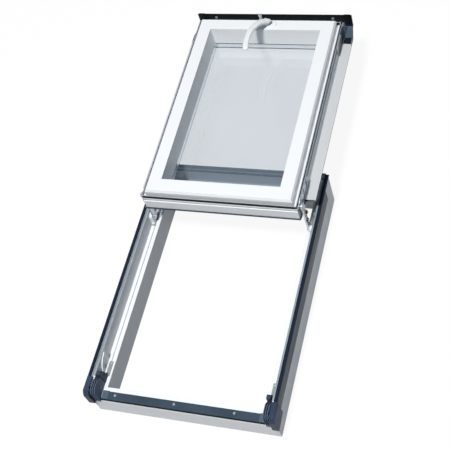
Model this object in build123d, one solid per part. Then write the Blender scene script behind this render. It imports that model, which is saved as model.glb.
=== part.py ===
from build123d import *
import os
from math import cos, radians, sin

# Fixed frame: X runs across, Y up the slope from the front of the sill, Z outwards.
# The finished pieces are moved so that the origin is in the middle of the sill's room-side face.
# A drop or a rise is measured down or up from the top of the frame or from the ledge.
frame_width = 550.0
frame_length = 780.0
frame_depth = 136.0
ledge_height = 80.0
jamb = 39.4
upstand = 13.6
groove_offset = 25.0
groove_width = 2.0
groove_depth = 4.0
lip_wall = 7.5
gasket_drop = 10.0
gasket_thickness = 3.0
gasket_overhang = 0.9
sill_shelf_drop = 8.0
sill_shelf = 7.0
sill_seal_drop = 3.3
seal_setback = 1.0

# Sheet cladding of the frame
sheet = 1.5
cladding_overhang = 4.0
cladding_lap = 7.0
leg_depth = 48.0
leg_short = 57.0
side_cladding_start = 45.0
sill_sheet_edge = 27.0
sill_nose = 5.0
sill_sheet_margin = 32.0
sill_plate_length = 18.0
sill_screw_margins = (70.0, 250.0, 123.0)  # two from the left side, one from the right
sill_screw_setback = 10.0
sill_screw_hole = 2.2
screw_head_radius = 4.0
screw_head_height = 2.4
screw_neck_radius = 1.8
screw_rim_height = 1.0
screw_crown_radius = 2.4

# Moulded corner pieces beside the sill
cap_lap = 11.0
cap_overhang = 6.0
cap_front = -10.0
cap_gap = 0.3
cap_drop = 72.0
cap_toe = (3.0, 6.0)  # bevel at the front of the foot: run and rise
cap_brow = ((0.0, 18.0), (6.0, 8.0), (14.0, 0.0))  # run from the front and drop from the top
cap_chamfer = 2.5
cap_tab = 3.0
bellows_width = 16.0
bellows_gap = 0.4
bellows_back = 50.0
bellows_front = -3.5
bellows_drop = 9.0
bellows_radius = 16.0
rib_count = 3
rib_gap = 0.8
rib_depth = 3.0
block_gap = 4.4
block_width = 11.5
block_front = 51.0
block_back = 71.0
block_slope = (8.0, 20.0)  # run and fall
block_hole = (2.0, 5.0, 8.0, 20.0)  # radius, depth, setback and rise
catch_gap = 8.4
catch_length = 46.5
catch_plate_hole = (2.0, 4.5, 6.0)  # radius, inset and setback
hook_start = 78.0
hook_size = (49.0, 45.0, 4.0)  # length, height and thickness
hook_mouth = (7.0, 20.0, 8.0)  # radius, setback and rise

# Hinge linkage: a pin on the frame, an arm, and a bolt on the sash
# The arm is as long as the open sash needs to stand clear of the frame.
bolt_from_head = 59.0
pin_above_ledge = 28.0
open_clearance = 36.0
arm_gap = 5.0
arm_thickness = 5.5
arm_end_radius = 10.0
arm_waist = 7.2
arm_taper = 25.0
swage = (3.0, 1.5, 22.0)  # half width, depth and setback from the eyes
pin_radius = 4.0
pin_head_radius = 7.0
pin_head_height = 2.0
running_clearance = 0.05
side_clearance = 0.3
bearing_radius = 12.0
bearing_foot = 6.0
bearing_splay = 3.0
pin_recess = 2.0
shoe_thickness = 2.5
shoe_margin = 8.0
shoe_lap = 3.0
shoe_corner = 2.0
slot_plate_setbacks = (104.0, 56.0)  # from the head of the frame
slot_plate_inset = 2.0
slot_plate_thickness = 2.0
plate_slot = (4.0, 3.0)  # inset and half width
plate_slot_pitch = 24.0

# Sash, in its closed place
hardware_gap = 21.4
sash_clearance = 8.2
end_clearance = 6.6
end_overlap = 2.4
face_bevel = 4.4
bevel_depth = 8.0
face_drop = 17.0
step_rise = 13.0
flange_rise = 3.0
flange_sheet = 2.0
flange_width = 31.0
flange_start = 52.0
flange_short = 104.0
foot_flange = -5.0
member_width = 39.0
end_member_width = 40.6
bed_drop = 6.0
side_groove_rise = 18.0
side_groove_width = 9.0
side_groove_depth = 4.0
seal_lip_width = 2.2
seal_lip_inset = 1.0
seal_lip_gap = 0.8

# Glazing
pane_thickness = 4.0
pane_cavity = 16.0
pane_cover = 20.0
pane_gap = 2.0
seal_thickness = 1.0
seal_sight = 0.5
seal_width = 8.5
spacer_sight = 2.0
cap_seal_height = 2.5
cap_seal_width = 6.0
cap_seal_lap = 4.0

# Sheet cladding of the sash
wall_rise = 7.5
hip_rise = 9.0
crown_rise = 25.0
crown_reach = 6.0
head_lap = 2.0
corner_seam = 82.0
seam_gap = 0.3
sheet_return = 9.0
skirt_front = -8.0
skirt_drop = 40.0
skirt_inset = 8.5
plinth_sheets = 2
corner_pad_end = 77.0
corner_pad_inset = 5.0
skirt_end_width = 30.5
skirt_end_thickness = 2.0
skirt_end_drop = 3.0
skirt_end_corner = 6.0
skirt_end_flange = (6.5, 2.8)  # reach and thickness
skirt_screw_inset = 62.5
skirt_screw_radius = 4.5
skirt_screw_height = 2.2
skirt_screw_drop = 6.0

# Fittings on the side walls of the sash
guard_thickness = 3.7
guard_start = 15.0
guard_end = 77.0
guard_rise = 2.0
guard_corner = 12.0
tongue_end = 137.0
tongue_radius = 20.0
tongue_floor = 1.6
tongue_rim = 4.0
channel_length = 79.0
channel_end_radius = 14.0
channel_depth = 4.0
channel_half = 20.0
channel_pin_setback = 51.0
channel_pin_radius = 1.2
clip_setback = 92.0
clip_half_span = 11.0
clip_strip = 3.2
clip_depth = 3.4
clip_foot = 2.0
clip_notch = 9.0
bolt_head_radius = 7.0
bolt_head_height = 4.2

# Handle, on the lower rail of the sash
axis_x = 2.0
axis_setback = 24.0
rose_shift = (4.0, -1.0)  # middle of the rose from the axis, across and along
rose_length = 62.0
rose_width = 31.0
rose_thickness = 3.0
rose_bevel = 1.5
spindle_radius = 4.0
spindle_depth = 12.0
hub_radius = 12.0
hub_height = 19.0
hub_bevel = 2.5
hub_overlap = 3.0
lever_width = 16.0
lever_depth = 9.0
lever_sides = 12
# Points on the middle line of the grip: across, along and outwards from the top of the hub
lever_path = (
    (7.0, 1.0, 6.0),
    (4.0, 10.0, -14.0),
    (-17.0, 34.0, -26.0),
    (-27.0, 75.0, -31.0),
    (-28.0, 110.0, -31.5),
    (-23.6, 144.0, -30.5),
)
# Share of the path and share of the full section
lever_stations = (
    (0.0, 1.15), (0.09, 1.2), (0.2, 1.15), (0.35, 1.1), (0.55, 1.0), (0.8, 0.95), (0.95, 0.9), (1.0, 0.55),
)
nose_angle = 216.0
nose_reach = 28.0
nose_width = 8.0
nose_drop = 32.0
nose_thickness = 6.0
nose_post = (18.0, 22.5)  # from the axis
nose_tip = (3.0, 1.5)  # length and inset of each side
nose_collar = 5.0
collar_wall = 3.0
keeper_reach = 6.3
keeper_span = (3.0, 25.0)  # across the sill
keeper_drop = 20.0
keeper_ramp = 10.0

half_width = frame_width / 2
half_opening = half_width - jamb
head_reveal = frame_length - jamb
upstand_face = half_width - upstand
gasket_seat = frame_depth - gasket_drop
sill_shelf_height = ledge_height - sill_shelf_drop
cladding_foot = frame_depth - leg_depth
leg_end = frame_length - leg_short
sill_sheet_half = half_width - sill_sheet_margin
sill_plate_inner = sill_sheet_half - sill_plate_length
sill_screw_x = (
    sill_screw_margins[0] - half_width,
    sill_screw_margins[1] - half_width,
    half_width - sill_screw_margins[2],
)
sill_screw_y = sill_sheet_edge - sill_screw_setback
cap_inner = half_width - cap_lap
cap_outer = half_width + cap_overhang
cap_foot = frame_depth - cap_drop
bellows_outer = upstand_face - bellows_gap
bellows_inner = bellows_outer - bellows_width
bellows_foot = ledge_height - bellows_drop
block_outer = upstand_face - block_gap
block_inner = block_outer - block_width
catch_outer = upstand_face - catch_gap
catch_inner = catch_outer - block_width
face_height = ledge_height - face_drop
step_height = ledge_height + step_rise
side_groove = (ledge_height + side_groove_rise, ledge_height + side_groove_rise + side_groove_width)
bed_height = frame_depth - bed_drop
flange_height = frame_depth + flange_rise
wall_top = frame_depth + wall_rise
hip_height = frame_depth + hip_rise
crown_height = frame_depth + crown_rise
skirt_foot = frame_depth - skirt_drop
sash_wall = upstand_face - hardware_gap
sash_box = half_opening - sash_clearance
sash_low = jamb - end_overlap
sash_high = head_reveal + end_overlap
box_low = jamb + end_clearance
box_high = head_reveal - end_clearance
flange_edge = sash_wall + flange_width
flange_end = frame_length - flange_short
skirt_half = flange_edge - skirt_inset
skirt_end_inner = skirt_half - skirt_end_width
skirt_screw_x = skirt_half - skirt_screw_inset
glass_half = sash_box - face_bevel - member_width
glass_low = box_low + face_bevel + end_member_width
glass_high = box_high - face_bevel - end_member_width
pane_inner = bed_height + seal_thickness
pane_outer = pane_inner + pane_thickness + pane_cavity
pane_top = pane_outer + pane_thickness
pane_half = glass_half + pane_cover
pane_low = glass_low - pane_cover
pane_high = glass_high + pane_cover
pin_z = ledge_height + pin_above_ledge
arm_length = frame_depth + open_clearance + crown_height - 2 * pin_z
bolt_y = frame_length - bolt_from_head
pin_y = bolt_y - arm_length
arm_inner = sash_wall + arm_gap
arm_outer = arm_inner + arm_thickness
bearing_inner = arm_outer + 2 * side_clearance
turn_y = (bolt_y + pin_y) / 2
turn_z = pin_z + arm_length / 2
channel_start = bolt_y - channel_length
channel_foot = pin_z - channel_half
channel_top = pin_z + channel_half
clip_y = bolt_y - clip_setback
axis_y = box_low + axis_setback
rose_top = face_height - rose_thickness
collar_seat = rose_top - side_clearance
hub_seat = collar_seat - nose_collar - side_clearance
hub_top = face_height - hub_height
nose_height = face_height - nose_drop
keeper_top = ledge_height - keeper_drop


def outline(plane, points):
    """A flat face from its corner points on a plane."""
    return plane * make_face(Polyline(*points, close=True))


def across(x):
    """The plane square to X, with Y and Z as its own axes."""
    return Plane((x, 0, 0), x_dir=(0, 1, 0), z_dir=(1, 0, 0))


def along(y):
    """The plane square to Y, with X and Z as its own axes."""
    return Plane((0, y, 0), x_dir=(1, 0, 0), z_dir=(0, -1, 0))


def level(z):
    """The plane square to Z."""
    return Plane((0, 0, z))


def prism_x(points, x0, x1):
    return extrude(outline(across(x0), points), x1 - x0)


def prism_y(points, y0, y1):
    return extrude(outline(along(y1), points), y1 - y0)


def prism_z(points, z0, z1):
    return extrude(outline(level(z0), points), z1 - z0)


def block(x0, x1, y0, y1, z0, z1):
    return Pos((x0 + x1) / 2, (y0 + y1) / 2, (z0 + z1) / 2) * Box(x1 - x0, y1 - y0, z1 - z0)


def rod_x(radius, x0, x1, y, z):
    return Pos((x0 + x1) / 2, y, z) * Rot(0, 90, 0) * Cylinder(radius, x1 - x0)


def rod_y(radius, y0, y1, x, z):
    return Pos(x, (y0 + y1) / 2, z) * Rot(90, 0, 0) * Cylinder(radius, y1 - y0)


def rod_z(radius, z0, z1, x, y):
    return Pos(x, y, (z0 + z1) / 2) * Cylinder(radius, z1 - z0)


def ring(section, half, low, high):
    """Sweep a section, given as distance inwards and height, round a rectangle with mitred corners."""
    middle = (low + high) / 2
    corners = [(-half, middle), (-half, high), (half, high), (half, low), (-half, low)]
    start = Plane((-half, middle, 0), x_dir=(1, 0, 0), z_dir=(0, -1, 0))
    return sweep(outline(start, section), path=Polyline(*corners, close=True), transition=Transition.RIGHT)


def arch(section, half, low, high):
    """Sweep a section up the left side, over the head and down the right side."""
    corners = [(-half, low), (-half, high), (half, high), (half, low)]
    start = Plane((-half, low, 0), x_dir=(1, 0, 0), z_dir=(0, -1, 0))
    return sweep(outline(start, section), path=Polyline(*corners), transition=Transition.RIGHT)


def left(shape):
    """The mirror image of a right-hand piece."""
    return mirror(shape, about=Plane.YZ)


def screw(x, y, z, shank):
    """A pan head screw pointing down -Z with its seat at z."""
    profile = [
        (0, z - shank),
        (screw_neck_radius, z - shank),
        (screw_neck_radius, z),
        (screw_head_radius, z),
        (screw_head_radius, z + screw_rim_height),
        (screw_crown_radius, z + screw_head_height),
        (0, z + screw_head_height),
    ]
    return Pos(x, y, 0) * revolve(outline(Plane.XZ, profile), Axis.Z)


# The fixed frame


def frame_pvc():
    """Four welded members: jamb, ledge with its groove, and the upstand that carries the cladding."""
    seat = frame_depth - sheet
    section = [
        (0, 0),
        (jamb, 0),
        (jamb, ledge_height),
        (groove_offset + groove_width, ledge_height),
        (groove_offset + groove_width, ledge_height - groove_depth),
        (groove_offset, ledge_height - groove_depth),
        (groove_offset, ledge_height),
        (upstand, ledge_height),
        (upstand, gasket_seat),
        (lip_wall, gasket_seat),
        (lip_wall, seat),
        (0, seat),
    ]
    body = ring(section, half_width, 0, frame_length)
    body -= block(-upstand_face, upstand_face, -1, upstand + 1, ledge_height, frame_depth + 1)
    body -= block(-upstand_face, upstand_face, -1, sill_shelf, sill_shelf_height, ledge_height + 1)
    notch = Box(2 * upstand + 1, 2 * side_cladding_start, 4 * sheet)
    for sign in (-1, 1):
        body -= Pos(sign * half_width, 0, frame_depth) * notch
    return body


def frame_gasket():
    """The weather gasket: a flat strip on the shelf of the upstand with a soft nose over the ledge."""
    reach = upstand + gasket_overhang
    half = gasket_thickness / 2
    section = [
        (lip_wall, gasket_seat),
        (upstand, gasket_seat),
        (reach, gasket_seat + half / 2),
        (reach, gasket_seat + half),
        (reach - half, gasket_seat + gasket_thickness),
        (lip_wall, gasket_seat + gasket_thickness),
    ]
    return arch(section, half_width, bellows_back + 1, frame_length)


def folded_strip(inner, edge, outer):
    """The section of an edge sheet: its top, its outer leg and a foot that returns to the frame."""
    top = frame_depth
    return [
        (inner, top),
        (outer, top),
        (outer, cladding_foot),
        (edge, cladding_foot),
        (edge, cladding_foot + sheet),
        (outer - sheet, cladding_foot + sheet),
        (outer - sheet, top - sheet),
        (inner, top - sheet),
    ]


def side_cladding():
    """The folded sheet along one side, its leg cut short at the head."""
    outer = half_width + cladding_overhang
    profile = folded_strip(half_width - cladding_lap, half_width, outer)
    strip = prism_y(profile, side_cladding_start, frame_length)
    return strip - block(half_width, outer + 1, leg_end, frame_length + 1, 0, frame_depth - sheet)


def head_cladding():
    """The strip over the head, lapped against the side strips, with its own leg behind."""
    profile = folded_strip(frame_length - cladding_lap, frame_length, frame_length + cladding_overhang)
    half = half_width - cladding_lap
    return prism_x(profile, -half, half)


def sill_cladding():
    """The flat sheet on the sill with a nose turned down over the seal."""
    top = ledge_height + sheet
    profile = [
        (sill_sheet_edge, ledge_height),
        (sill_sheet_edge, top),
        (sill_nose, top),
        (sill_nose - sheet, top - sheet),
        (sill_nose - sheet, top - 3 * sheet),
        (sill_nose, top - 3 * sheet),
        (sill_nose, ledge_height),
    ]
    body = prism_x(profile, -sill_sheet_half, sill_sheet_half)
    for x in sill_screw_x:
        body -= rod_z(sill_screw_hole, ledge_height - 1, top + 1, x, sill_screw_y)
    return body


def sill_end_plate():
    """The plate lapped over the end of the sill sheet."""
    top = ledge_height + sheet
    front = sill_nose - sheet
    return block(sill_plate_inner, sill_sheet_half + 1, front, sill_sheet_edge + 1, top, top + sheet)


def sill_seal():
    """The soft strip that lies on the shelf under the nose."""
    half = upstand_face - seal_setback
    return block(-half, half, seal_setback, sill_shelf, sill_shelf_height, ledge_height - sill_seal_drop)


def sill_screws():
    """Three screws through the sill sheet."""
    seat = ledge_height + sheet
    return [screw(x, sill_screw_y, seat, sheet) for x in sill_screw_x]


def corner_cap():
    """A moulded cap: sloped brow, pointed toe and an open back that slips over the upstand."""
    toe, heel = cap_toe
    back = side_cladding_start - 0.5
    side = [(back, frame_depth), (back, cap_foot + heel), (heel, cap_foot), (cap_front + toe, cap_foot),
            (cap_front, cap_foot + heel)]
    side += [(cap_front + step, frame_depth - drop) for step, drop in cap_brow]
    solid = prism_x(side, cap_inner, cap_outer)
    outer = solid.edges().filter_by(Axis.Y).filter_by(lambda e: e.center().X > cap_outer - 1)
    solid = chamfer(outer.sort_by(Axis.Z)[-1], cap_chamfer)
    inner = half_width + cap_gap
    roof = frame_depth - 2 * sheet + cap_gap
    solid -= block(cap_inner - 1, inner, -cap_gap, side_cladding_start, 0, roof)
    return solid - block(cap_inner - 1, cap_inner + cap_tab, cap_front - 1, 0, 0, cap_foot + heel / 3)


def bellows():
    """Three rubber ribs on a web, rounded over at the front."""
    top = frame_depth - 0.5
    low = ledge_height
    centre = (bellows_front + bellows_radius, top - bellows_radius)

    def slab(x0, x1, inset):
        reach = bellows_radius - inset
        front = bellows_front + inset
        foot = bellows_foot + inset
        arc_start = (centre[0], centre[1] + reach)
        arc_middle = (centre[0] - reach * cos(radians(45)), centre[1] + reach * sin(radians(45)))
        arc_end = (front, centre[1])
        straight = Polyline(arc_end, (front, foot), (-cap_gap, foot), (-cap_gap, low), (bellows_back, low),
                            (bellows_back, top - inset), arc_start)
        rounding = ThreePointArc(arc_start, arc_middle, arc_end)
        return extrude(across(x0) * make_face(straight + rounding), x1 - x0)

    body = slab(bellows_inner + 1, bellows_outer - 1, rib_depth)
    pitch = bellows_width / rib_count
    for i in range(rib_count):
        start = bellows_inner + i * pitch + rib_gap
        body += slab(start, start + pitch - 2 * rib_gap, 0.0)
    return body


def corner_block():
    """The upright stop beside the bellows, with a small hole in its front."""
    top = frame_depth - 1
    run, fall = block_slope
    side = [
        (block_front, ledge_height),
        (block_back, ledge_height),
        (block_back, top - fall),
        (block_back - run, top),
        (block_front, top),
    ]
    radius, depth, setback, rise = block_hole
    hole = rod_x(radius, block_inner - 1, block_inner + depth, block_front + setback, ledge_height + rise)
    return prism_x(side, block_inner, block_outer) - hole


def catch_plate():
    """The grey base plate of the catch on the ledge."""
    start = block_back + 0.5
    top = ledge_height + shoe_thickness
    end = start + catch_length
    plate = block(catch_inner, catch_outer, start, end, ledge_height, top)
    radius, inset, setback = catch_plate_hole
    return plate - rod_z(radius, ledge_height - 1, top + 1, catch_inner + inset, end - setback)


def catch_hook():
    """A quarter disc of moulded plastic on the upstand, with the mouth of the hook on its sill side."""
    length, reach, thickness = hook_size
    foot = ledge_height + cap_gap
    back = hook_start + length
    start = (hook_start, foot)
    middle = (back - length * sin(radians(45)), foot + reach * sin(radians(45)))
    top = (back, foot + reach)
    face = make_face(Polyline(top, (back, foot), start) + ThreePointArc(start, middle, top))
    body = extrude(across(upstand_face - thickness) * face, thickness)
    radius, setback, rise = hook_mouth
    inner = upstand_face - thickness
    return body - rod_x(radius, inner - 1, upstand_face + 1, hook_start + setback, foot + rise)


def hinge_shoe():
    """The grey shoe under the bearing."""
    reach = bearing_radius + shoe_margin
    top = ledge_height + shoe_thickness
    shoe = block(bearing_inner - shoe_lap, upstand_face, pin_y - reach, pin_y + reach, ledge_height, top)
    corners = shoe.edges().filter_by(Axis.Z).filter_by(lambda e: e.center().X < bearing_inner)
    return chamfer(corners, shoe_corner)


def slot_plate():
    """A plate with two slots on the ledge, up the slope from the bearing."""
    start, end = (frame_length - setback for setback in slot_plate_setbacks)
    inner = sash_wall + slot_plate_inset
    top = ledge_height + slot_plate_thickness
    plate = block(inner, upstand_face, start, end, ledge_height, top)
    middle = (start + end) / 2
    inset, half = plate_slot
    for sign in (-1, 1):
        y = middle + sign * plate_slot_pitch / 2
        plate -= block(inner + inset, upstand_face - inset, y - half, y + half, ledge_height - 1, top + 1)
    return plate


def hinge_bearing():
    """The white bearing block: a round head over a splayed foot, bored for the pin."""
    foot = ledge_height + shoe_thickness
    r = bearing_radius
    neck = foot + bearing_foot
    splay = r + bearing_splay
    crown = (pin_y, pin_z + r)
    straight = Polyline((pin_y + r, pin_z), (pin_y + r, neck), (pin_y + splay, foot), (pin_y - splay, foot),
                        (pin_y - r, neck), (pin_y - r, pin_z))
    face = make_face(straight + ThreePointArc((pin_y - r, pin_z), crown, (pin_y + r, pin_z)))
    body = extrude(across(bearing_inner) * face, upstand_face - bearing_inner)
    bore = pin_radius + running_clearance
    return body - rod_x(bore, bearing_inner - 1, upstand_face - pin_recess, pin_y, pin_z)


def frame_pin():
    """The pin of the frame hinge, with its head on the inner side of the arm."""
    seat = arm_inner - side_clearance
    head = rod_x(pin_head_radius, seat - pin_head_height, seat, pin_y, pin_z)
    return head + rod_x(pin_radius, seat, upstand_face - pin_recess - side_clearance, pin_y, pin_z)


def latch_keeper():
    """The keeper on the hidden face of the sill, with a ramp for the nose of the latch."""
    low = nose_height + nose_thickness + 1
    ramp = keeper_top - keeper_ramp
    side = [(jamb, low), (jamb + keeper_reach, low), (jamb + keeper_reach, ramp), (jamb, keeper_top)]
    return prism_x(side, *keeper_span)


# The hinge arms, drawn with the sash open


def hinge_arm():
    """A flat arm with a round eye at each end and a stiffening swage between them."""
    top = pin_z + arm_length
    r = arm_end_radius
    w = arm_waist
    low = pin_z + arm_taper
    high = top - arm_taper
    side = [(r, pin_z), (w, low), (w, high), (r, top)]
    plan = [(pin_y + y, z) for y, z in side] + [(pin_y - y, z) for y, z in reversed(side)]
    bar = prism_x(plan, arm_inner, arm_outer)
    hole = pin_radius + running_clearance
    for z in (pin_z, top):
        bar += rod_x(r, arm_inner, arm_outer, pin_y, z)
    for z in (pin_z, top):
        bar -= rod_x(hole, arm_inner - 1, arm_outer + 1, pin_y, z)
    half, depth, setback = swage
    start = pin_z + setback
    return bar - block(arm_outer - depth, arm_outer + 1, pin_y - half, pin_y + half, start, top - setback)


# The sash, drawn closed and then swung over


def frame_block(half, low, high, z0, z1):
    """A plate centred on X that covers the given stretch of Y."""
    return block(-half, half, low, high, z0, z1)


def rectangle(half, low, high):
    """The corner points of a rectangle centred on X."""
    return [(-half, low), (half, low), (half, high), (-half, high)]


def frustum(base, crown, z0, z1):
    """Four flat slopes between two level rectangles, each given as half width, low and high end."""
    half, low, high = base
    top, first, last = crown
    wide = prism_y([(-half, z0), (half, z0), (top, z1), (-top, z1)], min(low, first), max(high, last))
    long = prism_x([(low, z0), (high, z0), (last, z1), (first, z1)], -max(half, top), max(half, top))
    return wide & long


def sash_pvc():
    """Four welded members: bevelled face, step for the gasket, side groove, glazing bed and flanges."""
    body = frame_block(sash_wall, sash_low, sash_high, step_height, wall_top)
    shoulder = face_height + bevel_depth
    body += frame_block(sash_box, box_low, box_high, shoulder, step_height)
    bevel = (sash_box - face_bevel, box_low + face_bevel, box_high - face_bevel)
    body += frustum(bevel, (sash_box, box_low, box_high), face_height, shoulder)
    body += frame_block(sash_wall, foot_flange, sash_low, flange_height, flange_height + flange_sheet)
    body += frame_block(flange_edge, flange_start, flange_end, flange_height, flange_height + flange_sheet)
    body -= frame_block(glass_half, glass_low, glass_high, 0, frame_depth * 2)
    gap = pane_gap
    body -= frame_block(pane_half + gap, pane_low - gap, pane_high + gap, bed_height, frame_depth * 2)
    groove = frame_block(sash_wall + 1, sash_low - 1, sash_high + 1, *side_groove)
    d = side_groove_depth
    body -= groove - frame_block(sash_wall - d, sash_low + d, sash_high - d, *side_groove)
    hole = spindle_radius + running_clearance
    return body - rod_z(hole, face_height - 1, face_height + spindle_depth, axis_x, axis_y)


def loop(half, low, high, width, z0, z1):
    """A flat rectangular loop that lies inside the given outline."""
    hole = frame_block(half - width, low + width, high - width, z0 - 1, z1 + 1)
    return frame_block(half, low, high, z0, z1) - hole


def inner_pane():
    return frame_block(pane_half, pane_low, pane_high, pane_inner, pane_inner + pane_thickness)


def outer_pane():
    return frame_block(pane_half, pane_low, pane_high, pane_outer, pane_top)


def pane_spacer():
    """The spacer bar between the panes, just outside the sight line of the glass."""
    low = pane_inner + pane_thickness
    width = pane_cover - pane_gap - spacer_sight
    return loop(pane_half - pane_gap, pane_low + pane_gap, pane_high - pane_gap, width, low, pane_outer)


def glazing_gasket():
    """The flat seal on the glazing bed."""
    reach = seal_sight + seal_width
    return loop(glass_half + reach, glass_low - reach, glass_high + reach, seal_width, bed_height, pane_inner)


def cap_seal():
    """The seal between the outer pane and the crown of the cladding."""
    reach = crown_reach + cap_seal_lap
    top = pane_top + cap_seal_height
    return loop(glass_half + reach, glass_low - reach, glass_high + reach, cap_seal_width, pane_top, top)


def sash_gasket():
    """The soft seal under the step of the sash: a slim lip that stops just above the ledge."""
    inset = seal_lip_inset
    foot = ledge_height + seal_lip_gap
    return loop(sash_wall - inset, sash_low + inset, sash_high - inset, seal_lip_width, foot, step_height)


def hip(drop):
    """The hipped outside of the sash: a plinth and four slopes that rise to the crown round the glass."""
    base = (flange_edge + sheet, skirt_front, sash_high + head_lap)
    crown = (pane_half + pane_gap, pane_low - pane_gap, pane_high + pane_gap)
    slopes = frustum(base, crown, hip_height, crown_height)
    plinth = frame_block(*base, flange_height - plinth_sheets * sheet, hip_height)
    body = Pos(0, 0, -drop) * (plinth + slopes)
    edge = crown_reach
    return body - frame_block(glass_half + edge, glass_low - edge, glass_high + edge, 0, 2 * frame_depth)


def folded(outer, inner):
    """A folded sheet under the hipped outside: outer and inner are its plan with and without the lips."""
    room = prism_z(outer, flange_height, 2 * frame_depth)
    hollow = prism_z(inner, 0, 2 * frame_depth)
    return (hip(0) & room) - (hip(sheet) & hollow)


def sash_cladding_side():
    """The right-hand sheet, with its lip round the flange."""
    inner = glass_half
    outer = flange_edge + sheet
    low = corner_seam + seam_gap / 2
    high = flange_end - seam_gap / 2
    plan = [(inner, low), (outer, low), (outer, high), (inner, high)]
    past = (low - sheet_return, high + sheet_return)
    bare = [(inner, past[0]), (outer - sheet, past[0]), (outer - sheet, past[1]), (inner, past[1])]
    return folded(plan, bare)


def sash_cladding_head():
    """The sheet over the head member, narrow enough to pass between the hinge arms."""
    outer = sash_wall + sheet
    low = flange_end + seam_gap / 2
    high = sash_high + head_lap
    plan = rectangle(outer, low, high)
    bare = rectangle(outer - sheet, low - sheet_return, high - sheet)
    return folded(plan, bare)


def corner_outline(offset, top):
    """Half of the plan of the lower sheet, with its corner cut back, moved in by the offset."""
    wide = flange_edge + sheet - offset
    narrow = skirt_half - offset
    return [(wide, top), (wide, flange_start), (narrow, 0), (narrow, skirt_front + offset)]


def both_sides(half):
    return half + [(-x, y) for x, y in reversed(half)]


def sash_cladding_skirt():
    """The lower sheet with its skirt turned down in front of the sill."""
    top = corner_seam - seam_gap / 2
    plan = both_sides(corner_outline(0, top))
    bare = both_sides(corner_outline(sheet, top + sheet_return))
    front = skirt_front
    return folded(plan, bare) + frame_block(skirt_half, front, front + sheet, skirt_foot, hip_height)


def corner_plate():
    """The plate that closes the corner of the lower sheet at the height of the flange."""
    edge = corner_outline(sheet, flange_start)[1:]
    low = skirt_front + sheet
    plan = [(sash_wall, flange_start)] + edge[:2] + [(edge[2][0], low), (sash_wall, low)]
    return prism_z(plan, flange_height, flange_height + flange_sheet)


def corner_pad():
    """The soft pad under the flange beside the corner plate."""
    inner = sash_wall + corner_pad_inset
    return block(inner, flange_edge - 1, flange_start, corner_pad_end, flange_height - sheet, flange_height)


def skirt_end():
    """A moulded end behind the skirt: a plate with cut corners and a flange under the corner plate."""
    back = skirt_front + sheet
    front = back + skirt_end_thickness
    foot = skirt_foot - skirt_end_drop
    cut = skirt_end_corner
    points = [
        (skirt_end_inner, flange_height),
        (skirt_end_inner, foot + cut),
        (skirt_end_inner + cut, foot),
        (skirt_half - cut, foot),
        (skirt_half, foot + cut),
        (skirt_half, flange_height),
    ]
    body = prism_y(points, back, front)
    reach, thickness = skirt_end_flange
    low = flange_height - thickness
    return body + block(skirt_end_inner, skirt_half - sheet, back, back + reach, low, flange_height)


def skirt_screw():
    """A screw that holds the skirt, its head towards the sash."""
    back = skirt_front + sheet
    z = (skirt_foot + flange_height) / 2 - skirt_screw_drop
    return rod_y(skirt_screw_radius, back, back + skirt_screw_height, skirt_screw_x, z)


def side_guard():
    """The moulded guard on the side wall beside the corner plate, its front corner cut back."""
    foot = step_height + guard_rise
    top = flange_height
    cut = guard_corner
    side = [(guard_start, top), (guard_start, foot + cut), (guard_start + cut, foot), (guard_end, foot),
            (guard_end, top)]
    return prism_x(side, sash_wall, sash_wall + guard_thickness)


def guard_tongue():
    """The tongue that carries on from the guard: a round end and a raised rim about a flat floor."""
    root = guard_end + seam_gap
    centre = tongue_end - tongue_radius
    middle = (step_height + guard_rise + flange_height) / 2

    def plate(radius, start, x0, x1):
        body = block(x0, x1, start, centre, middle - radius, middle + radius)
        return body + rod_x(radius, x0, x1, centre, middle)

    body = plate(tongue_radius, root, sash_wall, sash_wall + guard_thickness)
    floor = sash_wall + tongue_floor
    dish = plate(tongue_radius - tongue_rim, root + tongue_rim, floor, sash_wall + guard_thickness + 1)
    return body - dish


def hinge_channel():
    """A pressed channel on the side wall, with a round end about the hinge bolt."""
    r = channel_end_radius
    end = bolt_y - r
    floor = sash_wall + sheet
    side = [(channel_start, channel_foot), (end, channel_foot), (bolt_y, pin_z - r), (bolt_y, pin_z + r),
            (end, channel_top), (channel_start, channel_top)]
    plate = prism_x(side, sash_wall, floor) + rod_x(r, sash_wall, floor, bolt_y, pin_z)
    for low in (channel_foot, channel_top - sheet):
        plate += block(sash_wall, sash_wall + channel_depth, channel_start, end, low, low + sheet)
    return plate - rod_x(pin_radius + running_clearance, sash_wall - 1, floor + 1, bolt_y, pin_z)


def channel_pin():
    """The round cross pin of the channel."""
    x = sash_wall + sheet + channel_pin_radius
    y = bolt_y - channel_pin_setback
    return rod_z(channel_pin_radius, channel_foot + sheet, channel_top - sheet, x, y)


def spring_clip():
    """A V of spring strip on the side wall."""
    s = clip_half_span
    t = clip_strip
    low = channel_foot + clip_foot
    top = channel_top
    v = [(clip_y - s, top), (clip_y - s + t, top), (clip_y, low + clip_notch), (clip_y + s - t, top),
         (clip_y + s, top), (clip_y + t / 2, low), (clip_y - t / 2, low)]
    return prism_x(v, sash_wall, sash_wall + clip_depth)


def hinge_bolt():
    """The bolt of the sash hinge: shank through arm and channel, hexagon head outside the arm."""
    seat = arm_outer + side_clearance
    shank = rod_x(pin_radius, sash_wall + side_clearance, seat, bolt_y, pin_z)
    hexagon = across(seat) * Pos(bolt_y, pin_z) * RegularPolygon(bolt_head_radius, 6)
    return shank + extrude(hexagon, bolt_head_height)


# The handle


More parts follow.
